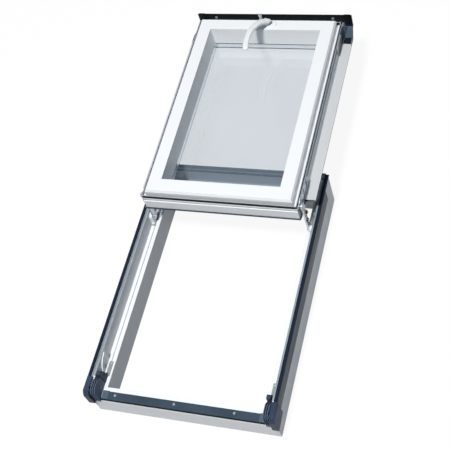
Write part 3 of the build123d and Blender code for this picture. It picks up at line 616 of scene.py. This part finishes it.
def round_piece(profile, middle, columns):
    """A round piece about an upright axis: each row is a circle whose radius and height the
    profile gives."""
    turn = np.linspace(0.0, 2 * np.pi, columns, endpoint=False)
    radius, height = np.array(profile).T
    radius = np.maximum(radius, smallest_radius)
    x = middle[0] + radius[:, None] * np.cos(turn)[None, :]
    y = middle[1] + radius[:, None] * np.sin(turn)[None, :]
    return np.stack([x, y, np.repeat(height[:, None], columns, 1)], -1)


def oval_piece(rim, middle, straight, radius, columns):
    """A flat oval: each row is two half circles a straight length apart, of the radius times the
    row's share, at the row's height."""
    turn = np.linspace(0.0, 2 * np.pi, columns, endpoint=False)
    shift = np.sign(np.cos(turn)) * straight / 2
    return np.stack([np.stack([middle[0] + shift + radius * part * np.cos(turn),
                               middle[1] + radius * part * np.sin(turn),
                               np.full(columns, height)], -1) for part, height in rim])


along = np.linspace(0.0, 1.0, grip_rows)
grip = flat_bar(smooth_line(grip_line, grip_rows), np.interp(along, grip_share, grip_width),
                np.interp(along, grip_share, grip_depth), grip_columns, grip_squareness)
handle = skin("handle_grip", grip, ivory)
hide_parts("handle_lever")
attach(handle, "handle")
hub = skin("handle_hub", round_piece(hub_profile, axis_place, hub_columns), ivory)
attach(hub, "handle")
rose = oval_piece(rose_rim, rose_middle, rose_straight, rose_radius, rose_columns)
plate = skin("handle_plate", rose, ivory)
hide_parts("handle_rose")
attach(plate, "sash")

# Seals and pads are rubber, extruded or moulded, matt with a faint bloom. The extruded ones keep
# fine lines along their length from the die. The seal of the sash is black, with a pale sheen
# painted on its top and its inner face, and the seals at the glass and on the frame's upstand are
# grey.

black_rubber = (22, 24, 26)
grey_rubber = (150, 156, 163)
pad_rubber = (24, 28, 34)
seal_sheen_tone = (172, 178, 187)
seal_sheen_top = (0.2517, 0.2519)
seal_inner_face = 0.2368
seal_face_reach = (0.0004, 0.0006)
die_lines = (1.0, 0.02, 1.0)
no_lines = (1.0, 1.0, 1.0)
rubber_roughness = 0.6
rubber_sheen = (0.5, 0.72)
rubber_gloss = 0.15
bloom_lift = 30
bloom_share = (0.45, 0.8, 0.0, 0.5)
bloom_noise = (35.0, 5.0)
rubber_sheen_noise = (80.0, 3.0)
die_noise = (900.0, 2.0)
die_depth = 0.00008
rubber_edge = 0.0008


def rubber(name, tone, stretch, foot=None):
    """Rubber with die lines along one axis and a paler bloom in patches. Foot, where given, is a
    pale tone painted on a seal's top and, along the sides, its inner face, as a sheen."""
    material, tree, shader, place = fresh(name, paint(*tone), rubber_roughness,
                                          specular_ior_level=rubber_gloss)
    bloom = spread(tree, cloud(tree, place, *bloom_noise), *bloom_share)
    pale = tuple(c + bloom_lift for c in tone)
    body = tinted(tree, bloom, paint(*tone), paint(*pale))
    # Painted sheen: the seal's top and inner face are made pale grey.
    if foot:
        x, y, z = axes_of(tree, place)
        off_face = unsigned(tree, sum_of(tree, "SUBTRACT", unsigned(tree, x), seal_inner_face))
        sheen_mask = sum_of(tree, "MAXIMUM", rising(tree, z, *seal_sheen_top),
                      falling(tree, off_face, *seal_face_reach))
        body = tinted(tree, sheen_mask, body, paint(*foot))
    sheen = spread(tree, cloud(tree, place, *rubber_sheen_noise), *noise_middle, *rubber_sheen)
    lines = cloud(tree, place, *die_noise, stretch)
    finished(tree, shader, body, sheen,
             relief(tree, lines, die_depth, soft_edge(tree, rubber_edge)))
    return material


dress(rubber("extruded_rubber", black_rubber, die_lines), "sill_seal")
dress(rubber("rubber_painted_sheen", black_rubber, die_lines, seal_sheen_tone), "sash_gasket")
dress(rubber("grey_rubber", grey_rubber, die_lines), "frame_gasket", "glazing_gasket", "cap_seal")
dress(rubber("moulded_rubber", pad_rubber, no_lines), "corner_pads")

# Each bellows is three rubber leaves side by side on a web, rounded over at the front like the
# cap beside it. The leaves stand nearly three millimetres apart, and the web is painted near black
# as the shade in the folds, so that dark lines show between them.

leaf_outline = np.array([(0.0160, 0.1353), (0.0040, 0.1353), (-0.0072, 0.1353), (-0.0133, 0.1341),
                         (-0.0185, 0.1308), (-0.0220, 0.1256), (-0.0232, 0.1195),
                         (-0.0232, 0.0950), (-0.0232, 0.0712), (-0.0203, 0.0712),
                         (-0.0203, 0.0802), (0.0100, 0.0802), (0.0302, 0.0802), (0.0302, 0.1200)])
leaf_middle = np.array([0.002, 0.1060])
leaf_rows = [(0.0, 0.88), (0.0003, 0.985), (0.0009, 1.0), (0.0019, 1.0), (0.0025, 0.985),
             (0.0028, 0.88)]
leaf_count = 3
leaf_start = 0.2460
leaf_pitch = 0.0056
web_rows = [(0.2463, 0.9), (0.2597, 0.9)]
leaf_tone = (92, 107, 129)
web_shade_tone = (12, 14, 17)


def leaf(side, rows):
    """A rubber leaf: its outline in Y and Z is drawn at each row's X, on the given side, and
    shrunk to the middle by the row's share."""
    out, shrink = np.array(rows).T
    ring = leaf_middle + (leaf_outline - leaf_middle)[None, ::side] * shrink[:, None, None]
    across = np.broadcast_to(side * out[:, None, None], ring.shape[:2] + (1,))
    return np.concatenate([across, ring], -1)


leaf_rubber = rubber("leaf_rubber", leaf_tone, no_lines)
# Painted shade: the web behind the leaves is near black.
web_shade_rubber = rubber("web_shade_rubber", web_shade_tone, no_lines)
for side, name in ((-1, "left"), (1, "right")):
    pieces = [skin(f"bellows_web_{name}", leaf(side, web_rows), web_shade_rubber)]
    for i in range(leaf_count):
        rows = [(leaf_start + leaf_pitch * i + step, part) for step, part in leaf_rows]
        pieces.append(skin(f"bellows_leaf_{name}_{i}", leaf(side, rows), leaf_rubber))
    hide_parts(f"bellows_{name}")
    for piece in pieces:
        flatten(piece)
        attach(piece, "frame")

# Arms, channels, clips, pins, bolts and screws are bright zinc-plated steel. The plating shifts a
# little between two blue-grey tones, drawing marks run along the strips, and the edges are
# rubbed brighter.

zinc_look = ((216, 222, 230), (190, 199, 210), 0.26, 0.6)
rubbed_zinc = (232, 235, 238)
plated_edge = 0.0004
plating_noise = (70.0, 4.0)
plating_share = (0.35, 0.68)
mark_noise = (1200.0, 3.0, (1.0, 0.06, 0.06))
mark_drop, mark_rise = 0.08, 0.1
mark_depth = 0.00002


def plated(name, first, second, roughness, metal=1.0):
    """Plating: two close metal tones in patches, fine drawing marks and brighter rubbed edges."""
    material, tree, shader, place = fresh(name, paint(*first), roughness, metallic=metal)
    patch = rising(tree, cloud(tree, place, *plating_noise), *plating_share)
    body = tinted(tree, patch, paint(*first), paint(*second))
    body = tinted(tree, worn_edges(tree, plated_edge), body, paint(*rubbed_zinc))
    marks = cloud(tree, place, *mark_noise)
    sheen = spread(tree, marks, *noise_middle, roughness - mark_drop, roughness + mark_rise)
    finished(tree, shader, body, sheen,
             relief(tree, marks, mark_depth, soft_edge(tree, plated_edge)))
    return material


zinc = plated("bright_zinc", *zinc_look)
dress(zinc, *pairs("hinge_arm", "hinge_channel", "spring_clip"), "channel_pins",
      "frame_hinge_pins", "hinge_bolts", "sill_screws", "skirt_screws", "latch_nose",
      "handle_spindle", "latch_keeper", "slot_plates")

# Small turned and hexagon fittings stand on the outer face of each hinge arm: two black lock nuts
# on yellow-plated studs, each with a bright washer under it, and two yellow-plated rivets. They
# are screwed or pressed into the flat bar of the arm.

nut_places = ((0.5885, 0.1900), (0.5800, 0.1640))
rivet_places = ((0.5792, 0.2060), (0.5895, 0.1500))
arm_face = 0.2505
washer_height = 0.0012
nut_profile = [(0.0, 0.0), (0.0058, 0.0), (0.0062, 0.0004), (0.0062, 0.0034), (0.0057, 0.0042),
               (0.0036, 0.0044)]
stud_profile = [(0.0034, 0.0040), (0.0034, 0.0068), (0.0029, 0.0074), (0.0, 0.0074)]
rivet_profile = [(0.0, 0.0), (0.0038, 0.0), (0.0038, 0.0008), (0.0034, 0.0018), (0.0024, 0.0025),
                 (0.0, 0.0028)]
washer_profile = [(0.0, 0.0), (0.0082, 0.0), (0.0086, 0.0003), (0.0086, 0.0009),
                  (0.0082, washer_height), (0.0, washer_height)]
nut_sides = 6
fitting_columns = 48
straw_look = ((205, 184, 120), (176, 158, 104), 0.3, 0.75)


def sideways(profile, middle, side, sides=0):
    """A fitting about an axis along X: each row is a circle, or a polygon of so many sides, whose
    radius the profile gives, at a height out from the arm's face on the given side."""
    turn = np.linspace(0.0, 2 * np.pi, fitting_columns, endpoint=False)
    flat = np.ones(fitting_columns)
    if sides:
        half = np.pi / sides
        flat = 1.0 / np.maximum(np.cos(np.mod(turn, 2 * half) - half), 0.5) * np.cos(half)
    radius, height = np.array(profile).T
    radius = np.maximum(radius, smallest_radius)
    reach = radius[:, None] * flat[None, :]
    out = np.repeat(side * (arm_face + height)[:, None], fitting_columns, 1)
    return np.stack([out, middle[0] + side * reach * np.cos(turn),
                     middle[1] + reach * np.sin(turn)], -1)


straw = plated("straw_zinc", *straw_look)
raised_nut = [(radius, height + washer_height) for radius, height in nut_profile]
for side, name in ((-1, "left"), (1, "right")):
    fittings = []
    for i, middle in enumerate(nut_places):
        washer = skin(f"arm_washer_{name}_{i}", sideways(washer_profile, middle, side), zinc)
        nut = skin(f"arm_nut_{name}_{i}", sideways(raised_nut, middle, side, nut_sides), black)
        flatten(nut)
        stud = skin(f"arm_stud_{name}_{i}", sideways(stud_profile, middle, side), straw)
        fittings += [(washer, "zinc"), (nut, "black_plastic"), (stud, "zinc")]
    for i, middle in enumerate(rivet_places):
        rivet = skin(f"arm_rivet_{name}_{i}", sideways(rivet_profile, middle, side), straw)
        fittings.append((rivet, "zinc"))
    for piece, finish in fittings:
        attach(piece, "hinge_arms")

# The sealed unit is two panes of clear coated glass on a bright aluminium spacer bar. Each face
# mirrors a little and the coating takes some light, so that what is behind looks pale blue-grey.

no_tint = (1.0, 1.0, 1.0, 1.0)
glass_tint = (0.966, 0.978, 0.988, 1.0)
smear_strength = 0.985
smear_noise = (3.0, 4.0)
smear_share = (0.3, 0.75)
glass_shade = (228, 232, 235)
mirror_tint = (0.96, 0.98, 1.0, 1.0)
mirror_least = 0.07
mirror_power = 5.0
spacer_look = ((236, 239, 242), (228, 232, 236), 0.12)


def pane_glass(name):
    """Clear glass as one film on each face: it lets tinted light through and mirrors by its
    angle, from a least share seen straight on to nearly all when the view grazes the face."""
    material, tree, shader, place = fresh(name, no_tint, 0.0)
    tree.nodes.remove(shader)
    through = tree.nodes.new("ShaderNodeBsdfTransparent")
    smear = rising(tree, cloud(tree, place, *smear_noise), *smear_share)
    faint = tuple(c * smear_strength for c in glass_tint[:3]) + (1.0,)
    clear = tinted(tree, smear, glass_tint, faint)
    shade = tree.nodes.new("ShaderNodeLightPath").outputs["Is Shadow Ray"]
    tree.links.new(tinted(tree, shade, clear, paint(*glass_shade)), through.inputs["Color"])
    mirror = tree.nodes.new("ShaderNodeBsdfGlossy")
    mirror.inputs["Roughness"].default_value = 0.0
    mirror.inputs["Color"].default_value = mirror_tint
    angle = tree.nodes.new("ShaderNodeLayerWeight")
    angle.inputs["Blend"].default_value = 0.5
    grazing = sum_of(tree, "POWER", angle.outputs["Facing"], mirror_power)
    mirrored = sum_of(tree, "ADD", product(tree, grazing, 1.0 - mirror_least), mirror_least)
    film = blended(tree, mirrored, through, mirror)
    tree.links.new(film, tree.nodes["Material Output"].inputs["Surface"])
    return material


dress(pane_glass("coated_glass"), "inner_pane", "outer_pane")
dress(plated("spacer_bar", *spacer_look), "pane_spacer")
